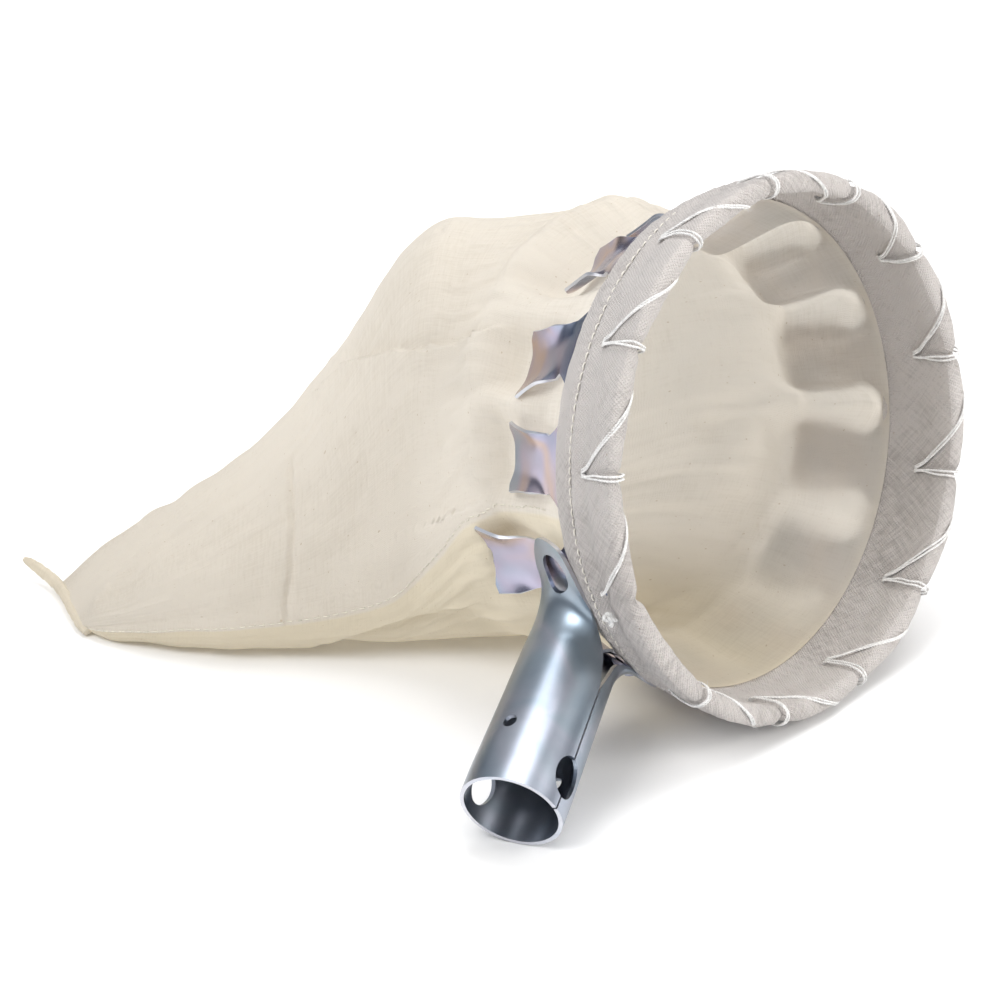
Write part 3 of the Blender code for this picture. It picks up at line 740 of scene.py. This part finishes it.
def make_hem_stitches():
    angles = np.linspace(0, math.tau, 1200)
    path = from_ring(angles, np.full(1200, STITCH_SETBACK),
                     np.full(1200, float(band_radius(STITCH_SETBACK)) + 1.25 * MM))
    outward = np.stack([np.cos(angles), np.sin(angles), np.zeros(1200)], 1) @ RING[:3, :3].T
    paths = stitch_paths(path, outward, 3.0 * MM, 2.3 * MM, -0.15 * MM, 0.42 * MM)
    thread = tubes_object("hem_stitches", [(p, 0.24 * MM, 6) for p in paths],
                          cotton("hem_thread", (0.86, 0.82, 0.74)))
    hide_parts("hem_stitch_thread")
    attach(thread, "picker")


# ---------------------------------------------------------------- lacing

def lacing_route(strand):
    """One strand's way round: through each hole, over the front, back through, on to the next."""
    rng = np.random.default_rng(11 + strand)
    side = 1.0 if strand else -1.0
    points = []
    angles = station_angles()[::-1] - math.tau

    def place(angle, across, setback, lift):
        turn = angle - across / FRONT_RADIUS
        radius = float(band_radius(setback)) + lift
        points.append((radius * math.cos(turn), radius * math.sin(turn), -setback))

    def over(start, end, gap):
        stops = [(8.0, 2.75), (4.5, 3.35), (1.0, 3.5), (-1.8, 2.7), (-TWINE_FRONT / MM, 0.9),
                 (-TWINE_FRONT / MM, -0.9), (-1.8, -2.7), (1.0, -3.5), (4.5, -3.2), (8.0, -2.7)]
        wander = rng.normal(0, 0.22, len(stops))
        for order, (setback, lift) in enumerate(stops):
            share = (order + 0.5) / len(stops)
            across = start + (end - start) * share + side * gap * math.sin(math.pi * share) ** 0.5
            place(angle, across + wander[order] * MM, setback * MM, lift * MM)

    step = FRONT_RADIUS * PITCH
    for index, angle in enumerate(angles):
        spread = (0.34 + 0.5 * rng.random()) * MM
        lean = rng.normal(0, 0.9) * MM
        if index:
            for lift in (-1.9, -0.8, 0.8, 1.9):
                place(angle, side * 0.35 * MM - 0.5 * MM, HOLE_SETBACK, lift * MM)
            over(-0.5 * MM, 0.5 * MM + 0.3 * lean, spread)
        for lift in (-1.9, -0.8, 0.8, 1.9):
            place(angle, side * 0.35 * MM + 0.5 * MM, HOLE_SETBACK, lift * MM)
        if index < len(angles) - 1:
            over(0.5 * MM, step - 0.5 * MM, spread)
    return to_world(np.array(points))


def twisted(path, radius, lay):
    """The two plies of a twisted cord along a path; lay is the length of one full turn."""
    path = resample(path, 0.42 * MM)
    side, up = tube_frame(path)
    made = []
    for ply in (0, 1):
        turn = math.tau * (distances(path) / lay + ply / 2)
        shift = side * np.cos(turn)[:, None] + up * np.sin(turn)[:, None]
        made.append((path + shift * radius * 0.52, radius * 0.60, 6))
    return made


def stray_fibres(path, count, seed):
    """Short loose hairs that stand off a cord."""
    rng = np.random.default_rng(seed)
    side, up = tube_frame(path)
    along = unit(np.gradient(path, axis=0))
    made = []
    for index in rng.integers(4, len(path) - 4, count):
        turn, curl = rng.random() * math.tau, rng.normal(0, 0.7)
        out = side[index] * math.cos(turn) + up[index] * math.sin(turn)
        length = rng.uniform(0.8, 2.2) * MM
        t = np.linspace(0, 1, 5)[:, None]
        line = path[index] + out * (0.3 * MM + 0.55 * length * t)
        line = line + along[index] * length * (t * rng.choice((-1, 1)) * 0.7 + curl * 0.2 * t * t)
        made.append((line, 0.045 * MM, 3))
    return made


def smoothed(path):
    for _ in range(2):
        path = resample(path, 0.8 * MM)
        path[1:-1] = (path[:-2] + 2 * path[1:-1] + path[2:]) / 4
    return path


def make_lacing():
    tubes = []
    for strand in (0, 1):
        path = smoothed(spline(lacing_route(strand), 2400))
        tubes += twisted(path, TWINE_RADIUS, TWINE_LAY)
        tubes += stray_fibres(path, 170, 5 + strand)
    white = cotton("twine_fibres", (0.86, 0.85, 0.835))
    lacing = tubes_object("lacing_strands", tubes, white)
    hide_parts("lacing_twine")
    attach(lacing, "picker")
    make_knot(white)


def make_knot(white):
    """The knot beside the near ear: two closed loops of twine, with no loose ends."""
    angle = -SOCKET_HALF_GAP + 5.7 * MM / FRONT_RADIUS
    centre = from_ring(np.array(angle), np.array(8.4 * MM), np.array(FRONT_RADIUS + 3.0 * MM))
    outward = RING[:3, :3] @ np.array((math.cos(angle), math.sin(angle), 0.0))
    back = -MOUTH_AXIS
    side = np.cross(outward, back)
    t = np.linspace(0, math.tau, 90)
    tubes = []
    for turn in (0.0, 0.7):
        across = 1.55 * (np.sin(t + turn) + 2 * np.sin(2 * t)) / 2.4
        along = 1.55 * (np.cos(t + turn) - 2 * np.cos(2 * t)) / 2.4
        lift = 0.75 * np.sin(3 * t) + 0.2 * turn
        loop = centre + (across[:, None] * side + along[:, None] * back + lift[:, None] * outward) * MM
        tubes += twisted(loop, KNOT_RADIUS, KNOT_LAY)
    knot = tubes_object("lacing_tie", tubes, white)
    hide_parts("lacing_knot")
    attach(knot, "picker")


# ---------------------------------------------------------------- bag

# Axes of the bag's sections: round the mouth's axis, and level away from the mouth
SIDE_AXIS = unit(np.cross((0, 0, 1), -MOUTH_AXIS))
UP_AXIS = np.cross(-MOUTH_AXIS, SIDE_AXIS)
LEVEL_BACK = -np.array((math.cos(MOUTH_AZIMUTH), math.sin(MOUTH_AZIMUTH), 0.0))


# Sections behind the fingers, in mm: near edge x y, far edge x y, height of the widest place, top,
# how firm the lower corners are (1 is round) and how far back the top leans
SECTIONS = [
    (-0.5, -10.5, 84, 95, 66, 131.5, 0.95, 22), (-6, -5, 66, 100, 62, 130, 0.88, 14),
    (-11, 0, 42, 97, 56, 129.5, 0.76, 7), (-16, 4.5, 16, 93.5, 49, 130, 0.64, 2),
    (-22, 8.5, -6, 90, 42, 131, 0.52, 0), (-29, 10.5, -22, 88, 35, 121, 0.44, 0),
    (-40, 12.5, -37, 86, 28, 99, 0.42, 0), (-56, 14, -57, 84, 22, 72, 0.42, 0),
    (-81, 16, -82, 82, 17, 46, 0.42, 0), (-104, 22, -106, 80, 10, 26, 0.42, 0),
    (-119, 29.5, -122, 77, 5, 12, 0.5, 0), (-125.2, 33.4, -135, 59, 2.4, 4.8, 0.8, 0),
]


def neck_rows():
    """Circles round the mouth's axis behind the hem, with the cloth puffed between the fingers."""
    turns = math.tau * np.arange(COLUMNS) / COLUMNS
    direction = np.cos(turns)[:, None] * SIDE_AXIS + np.sin(turns)[:, None] * UP_AXIS
    local = direction @ RING[:3, :3]
    angle = np.arctan2(local[:, 1], local[:, 0])
    offset = station_offset(angle)
    uneven = 1 + 1.1 * clouds(np.stack([np.cos(angle), np.sin(angle), 0 * angle], -1), 0.35, 12)
    bend_angle = angle - offset / FRONT_RADIUS * smooth(16 * MM, 11 * MM, np.abs(offset))
    # How far round the ring each column is, and which stretch of the bag it is in
    arc = np.degrees(turns)
    beyond = smooth(94, 116, arc) * smooth(215, 180, arc)
    hidden = smooth(170, 215, arc) * smooth(330, 290, arc)
    beside = smooth(82, 50, np.abs((arc + 180) % 360 - 180))
    from_leaning = np.abs(angle - station_angles()[LEANING_STATION] + math.tau)
    second = smooth(0.9 * PITCH / 2, 0.7 * PITCH / 2, from_leaning)
    rows = []
    for setback in np.array(NECK_SETBACKS) * MM:
        held = min(setback, NECK_END)
        inside = float(band_radius(held)) - 2.2 * MM - tip_bend(bend_angle, held)
        rise = float(smooth(20 * MM, 33 * MM, setback))
        leaning = TIP_LEAN * second * float(smooth(BAND_DEPTH, FINGER_DEPTH, setback))
        gap = smooth(7.0 * MM, 19.0 * MM, np.abs(offset - leaning))
        level = np.maximum(NECK_LEVEL - inside, 0) * beside
        puff = gap * (level + uneven * (0.4 + 6.5 * beyond + 1.6 * hidden) * MM * rise)
        behind = float(smooth(50 * MM, 56 * MM, setback)) * 5.0 * beyond * MM
        centre = RING_CENTRE - MOUTH_AXIS * setback
        rows.append(centre + direction * (inside + puff + behind)[:, None])
    return rows


def sack_rows():
    """Closed sections with a flat bottom and firm lower corners; the first few lean back at the top."""
    turns = math.tau * np.arange(COLUMNS) / COLUMNS
    cosine, sine = np.cos(turns), np.sin(turns)
    rows = []
    for near_x, near_y, far_x, far_y, widest, top, firm, lean in SECTIONS:
        near = np.array((near_x, near_y, widest)) * MM
        far = np.array((far_x, far_y, widest)) * MM
        centre, half = (near + far) / 2, (near - far) / 2
        power = np.where(sine > 0, UPPER_POWER, firm)
        across = np.sign(cosine) * np.abs(cosine) ** power
        height = np.where(sine > 0, top - widest, widest - 0.4) * MM
        rise = np.sign(sine) * np.abs(sine) ** power * height
        back = np.maximum(rise, 0) / ((top - widest) * MM) * lean * MM
        rows.append(centre + across[:, None] * half + rise[:, None] * np.array((0, 0, 1.0))
                    + back[:, None] * LEVEL_BACK)
    return rows


def bag_base():
    """The bag's smooth shape as a (rows, columns, 3) grid, from the hem to the closed end."""
    keys = np.array(neck_rows() + sack_rows())
    fine = spline(keys.reshape(len(keys), -1), SACK_ROWS * 4).reshape(-1, COLUMNS, 3)
    lengths = distances(fine.mean(axis=1))
    at = np.linspace(0, lengths[-1], SACK_ROWS)
    index = np.clip(np.searchsorted(lengths, at), 1, len(lengths) - 1)
    share = ((at - lengths[index - 1]) / (lengths[index] - lengths[index - 1]))[:, None, None]
    grid = fine[index - 1] * (1 - share) + fine[index] * share
    slack = (smooth(12 * MM, 30 * MM, at) * smooth(115 * MM, 80 * MM, at))[:, None, None]
    soft = grid.copy()
    for _ in range(16):
        soft[1:-1] = (soft[:-2] + 2 * soft[1:-1] + soft[2:]) / 4
        soft = (np.roll(soft, 1, 1) + 2 * soft + np.roll(soft, -1, 1)) / 4
    return grid + (soft - grid) * slack, at


# Folds: kind, line in mm, width, height and reach in mm. A step is raised on its lower side as far
# as it reaches, and a crease is raised along its line.
FOLDS = [
    ("step", [(-56, 45, 73), (-47, 43.6, 82), (-40, 41, 90.4), (-23, 27.3, 102.8), (-14.5, 24.7, 106),
              (-6, 24.5, 107.8), (1.4, 21.5, 111), (9.3, 14.3, 117)], 2.4, 3.6, 22),
    ("step", [(-56, 15, 3), (-44, 16.5, 9.4), (-36, 15.5, 13), (-24, 14, 18.6), (-13, 11, 23),
              (0, 3, 30)], 1.0, -3.0, 16),
    ("crease", [(-14, 10, 23), (0, -4, 31), (12, -8, 26)], 1.6, 1.0, 0),
    ("crease", [(-124, 34.5, 5), (-117, 40, 13.5), (-106, 41.6, 24.4), (-86, 36.7, 41),
                (-72, 40, 53)], 2.2, 1.2, 0),
    ("step", [(-50, 13, 33), (-26, 11, 48), (-10, 4, 59), (3.5, -9, 73), (14, -25, 84)], 4.0, 1.6, 14),
    ("crease", [(-15, 50, 131), (-13.4, 45.4, 129.3), (-10.7, 36.9, 125.3), (-6, 29.8, 117.3),
                (-3.5, 25, 109)], 1.3, -1.1, 0),
    ("crease", [(-59, 33, 65), (-59.6, 24.4, 55), (-58.7, 18, 45), (-59.4, 14.5, 33),
                (-61.2, 13.9, 21.8), (-61, 14, 12)], 0.9, -1.5, 0),
    ("crease", [(-62, 33, 65), (-64, 24, 53), (-64, 17, 42), (-65, 14.5, 30), (-66, 14, 20)],
     2.6, 0.5, 0),
    ("crease", [(104, 70, 100), (90, 78, 92), (76, 88, 76), (60, 97, 54)], 7.0, 3.2, 0),
    ("crease", [(112, 66, 66), (98, 76, 62), (84, 90, 50), (66, 98, 34)], 6.0, -3.2, 0),
    ("crease", [(111, 46, 26), (98, 56, 18), (84, 70, 10), (64, 84, 4)], 7.0, 3.0, 0),
]


def fold_height(grid, far):
    """Height in mm of the folds, which start past the finger tips."""
    height = np.zeros_like(far)
    for kind, line, width, rise, reach in FOLDS:
        away, where, level = line_distance(grid, np.array(line) * MM)
        fade = smooth(0, 0.12, where) * (1 - smooth(0.88, 1, where)) * smooth(26, 42, far)
        if kind == "crease":
            height += rise * bell(away, width * MM) * fade
        else:
            signed = away * np.sign(level - grid[..., 2])
            step = smooth(-width * MM, width * MM, signed)
            height += rise * step * bell(np.maximum(signed, 0), reach * MM) * fade
    return height


def slack_height(grid, far, turns):
    """Height in mm of the pleats, the soft unevenness, the rumpled lining and the crumpled end."""
    ring_turn = np.stack([np.cos(turns), np.sin(turns)], -1)[None] * np.ones((len(far), 1, 1))
    pleat_space = np.concatenate([ring_turn * 90 * MM, far[..., None] * MM * 0.22], -1)
    loose = 0.12 * smooth(6, 20, far) + 0.88 * smooth(30, 56, far)
    pleats = clouds(pleat_space, 7 * MM, 4) * 1.5 + clouds(pleat_space, 3.6 * MM, 5) * 0.5
    height = pleats * loose * (1 - 0.75 * smooth(40, 110, far))
    height += clouds(grid * (0.45, 1.0, 1.0), 26 * MM, 6) * 1.6 * loose
    height += clouds(grid * (0.6, 1.0, 1.2), 10 * MM, 7) * 0.45 * loose
    inner = smooth(120, 160, np.degrees(turns)) * smooth(345, 300, np.degrees(turns))
    lining = inner * smooth(24, 42, far) * smooth(120, 70, far)
    height += clouds(grid * (0.8, 0.8, 1.5), 15 * MM, 13) * 2.2 * lining
    crumple = smooth(150, 210, far) * (1 - smooth(268, 285, far))
    return height + clouds(grid * (1.0, 0.6, 0.6), 11 * MM, 8) * 1.5 * crumple


def bag_grid():
    """The bag's shape with its folds, and how far along from the hem each row is."""
    grid, along = bag_base()
    turns = math.tau * np.arange(COLUMNS) / COLUMNS
    normal = -normals_of(grid)
    centre = grid.mean(axis=1, keepdims=True)
    normal *= np.sign(((grid - centre) * normal).sum(-1).mean())
    far = (along / MM)[:, None] * np.ones_like(grid[..., 0])
    height = slack_height(grid, far, turns) + fold_height(grid, far)
    height *= 1 - 0.9 * smooth(0.93, 1.0, (along / along[-1])[:, None])
    grid = grid + normal * (height * MM)[..., None]
    grid[..., 2] = np.maximum(grid[..., 2], 0.25 * MM)
    return grid, along


# How far along the bag its side seam is, in mm, and how far round, in degrees
SEAM_TURNS = ((0, 2), (40, 0), (80, -4), (300, -4))


def seam_turn(along):
    table = np.array(SEAM_TURNS, float)
    return np.radians(np.interp(along / MM, table[:, 0], table[:, 1]))


def make_bag():
    grid, along = bag_grid()
    signed = (math.tau * np.arange(COLUMNS) / COLUMNS + math.pi) % math.tau - math.pi
    near = seam_turn(along)[:, None]
    edge = smooth(near + 0.01, near - 0.01, signed[None])
    shade = 0.2 + 0.8 * edge * smooth(math.radians(-128), math.radians(-92), signed[None])
    cloth = muslin("bag_cloth", light=(0.815, 0.775, 0.72), dark=(0.72, 0.675, 0.61),
                   thread=0.5 * MM, see_through=0.46, diagonal=0.0, depth=0.12 * MM)
    around = np.arange(COLUMNS + 1) / COLUMNS * BAG_GIRTH
    bag = grid_object("bag_cloth", grid, cloth, around, along, shade)
    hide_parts("bag_neck", "bag_upper_panel", "bag_lower_panel")
    start = RING_CENTRE - MOUTH_AXIS * BLEND_START
    end = RING_CENTRE - MOUTH_AXIS * BLEND_END
    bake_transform(bag)
    return bag, grid, along, (start, end)


def make_seam_stitches(grid, along):
    normal = normals_of(grid)
    rows = np.arange(18, len(along) - 6)
    column = (np.round((seam_turn(along[rows]) + math.radians(1.5)) / math.tau * COLUMNS).astype(int)
              % COLUMNS)
    path = grid[rows, column]
    outward = normal[rows, column]
    middle = grid.mean(axis=1)[rows]
    outward *= np.sign(((path - middle) * outward).sum(1, keepdims=True))
    paths = stitch_paths(path, outward, 2.9 * MM, 2.0 * MM, -0.2 * MM, 0.28 * MM)
    thread = tubes_object("seam_stitches", [(p, 0.2 * MM, 6) for p in paths],
                          cotton("seam_thread", (0.84, 0.79, 0.68)))
    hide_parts("seam_stitch_thread")
    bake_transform(thread)
    return thread


def make_tail(cloth):
    """The closed end's seam: a rolled edge of cloth that runs out past the far corner."""
    keys = np.array([(-123.6, 31.6, 1.6), (-126.5, 37, 2.6), (-129.5, 44.5, 3.2), (-132, 51, 3.6),
                     (-134.8, 57.5, 3.4), (-137.8, 62.5, 3.4), (-141.2, 66.2, 4.2), (-144.2, 67.9, 5.6),
                     (-146.8, 68.6, 7.2)])
    path = spline(keys, 90) * MM
    share = np.linspace(0, 1, 90)
    width = np.interp(share, (0, 0.1, 0.55, 0.75, 0.93, 1), (1.2, 1.9, 2.0, 2.1, 1.5, 0.8)) * MM
    thick = np.interp(share, (0, 0.1, 0.55, 0.8, 1), (0.9, 1.3, 1.4, 1.0, 0.55)) * MM
    along = unit(np.gradient(path, axis=0))
    flat = unit(np.cross(along, (0, 0, 1.0)))
    lift = np.cross(flat, along)
    roll = 0.5 + 1.1 * share
    turns = math.tau * np.arange(24) / 24
    a = np.cos(turns)[None] * width[:, None]
    b = np.sin(turns)[None] * thick[:, None]
    wave = 1 + 0.16 * clouds(np.stack([a / MM * 2, b / MM * 2, share[:, None] * 60 + 0 * a], -1) * MM,
                             2.4 * MM, 9)
    a, b = a * wave, b * wave
    c, d = np.cos(roll)[:, None], np.sin(roll)[:, None]
    grid = (path[:, None] + flat[:, None] * (a * c - b * d)[..., None]
            + lift[:, None] * (a * d + b * c)[..., None])
    grid[..., 2] = np.maximum(grid[..., 2], 0.3 * MM)
    around = np.arange(25) / 24 * 9 * MM
    shade = np.full(grid.shape[:2], 0.7)
    tail = grid_object("bag_tail_seam", grid, cloth, around, share * 45 * MM, shade)
    cap_ends(tail, 24)
    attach(tail, "bag")
    return tail


def cap_ends(made, columns):
    work = bmesh.new()
    work.from_mesh(made.data)
    work.verts.ensure_lookup_table()
    work.faces.new(list(work.verts)[:columns][::-1])
    work.faces.new(list(work.verts)[-columns:])
    bmesh.ops.recalc_face_normals(work, faces=work.faces)
    work.to_mesh(made.data)
    work.free()


# ---------------------------------------------------------------- studio

def area_light(name, place, target, size, power, colour=(1, 1, 1)):
    data = bpy.data.lights.new(name, "AREA")
    data.shape = "RECTANGLE"
    data.size, data.size_y = size
    data.energy = power
    data.color = colour
    made = placed(name, data)
    made.location = place
    made.rotation_euler = (Vector(target) - Vector(place)).to_track_quat("-Z", "Y").to_euler()


FLOOR_REACH = 6.0


def make_studio():
    finish, tree, shader = new_material("studio_paper")
    feed(tree, shader, {"Base Color": (0.93, 0.93, 0.93, 1.0), "Roughness": 0.9})
    corners = np.array([(-1, -1, 0), (1, -1, 0), (1, 1, 0), (-1, 1, 0)]) * FLOOR_REACH
    floor = mesh_object("studio_floor", corners, [(0, 1, 2, 3)], finish)
    floor.location.z = -0.2 * MM
    world = bpy.data.worlds.new("studio_world")
    bpy.context.scene.world = world
    world.use_nodes = True
    tree = world.node_tree
    place = node(tree, "ShaderNodeTexCoord").outputs["Generated"]
    height = node(tree, "ShaderNodeSeparateXYZ", {"Vector": place}).outputs["Z"]
    sky = ramp(tree, height, [(0.0, (0.30, 0.33, 0.38)), (0.18, (0.22, 0.25, 0.30)),
                              (0.45, (0.75, 0.77, 0.80)), (0.8, (1.0, 1.0, 1.0))])
    feed(tree, tree.nodes["Background"], {"Color": sky, "Strength": 0.62})
    area_light("key", (-0.9, -0.9, 1.5), (0, 0, 0.06), (1.0, 1.0), 21)
    area_light("top", (0.3, 0.5, 1.9), (0, 0, 0.06), (1.4, 1.4), 22)
    area_light("right", (1.4, -0.5, 0.7), (0.05, 0, 0.06), (0.6, 1.0), 15, (1.0, 0.975, 0.94))
    bpy.context.scene.view_settings.view_transform = "Standard"


def make_camera():
    data = bpy.data.cameras.new("camera")
    data.lens = 147.7
    data.sensor_width = 36.0
    made = placed("camera", data)
    made.location = Vector((3.60, -1064.05, 635.19)) * MM
    made.rotation_euler = (math.radians(61.8), 0, 0)
    bpy.context.scene.camera = made


make_crown()
make_socket()
hem = make_hem()
make_hem_stitches()
make_lacing()
bag, bag_points, bag_along, blend_ends = make_bag()
seam_thread = make_seam_stitches(bag_points, bag_along)
tail = make_tail(bag.data.materials[0])
make_studio()
make_camera()
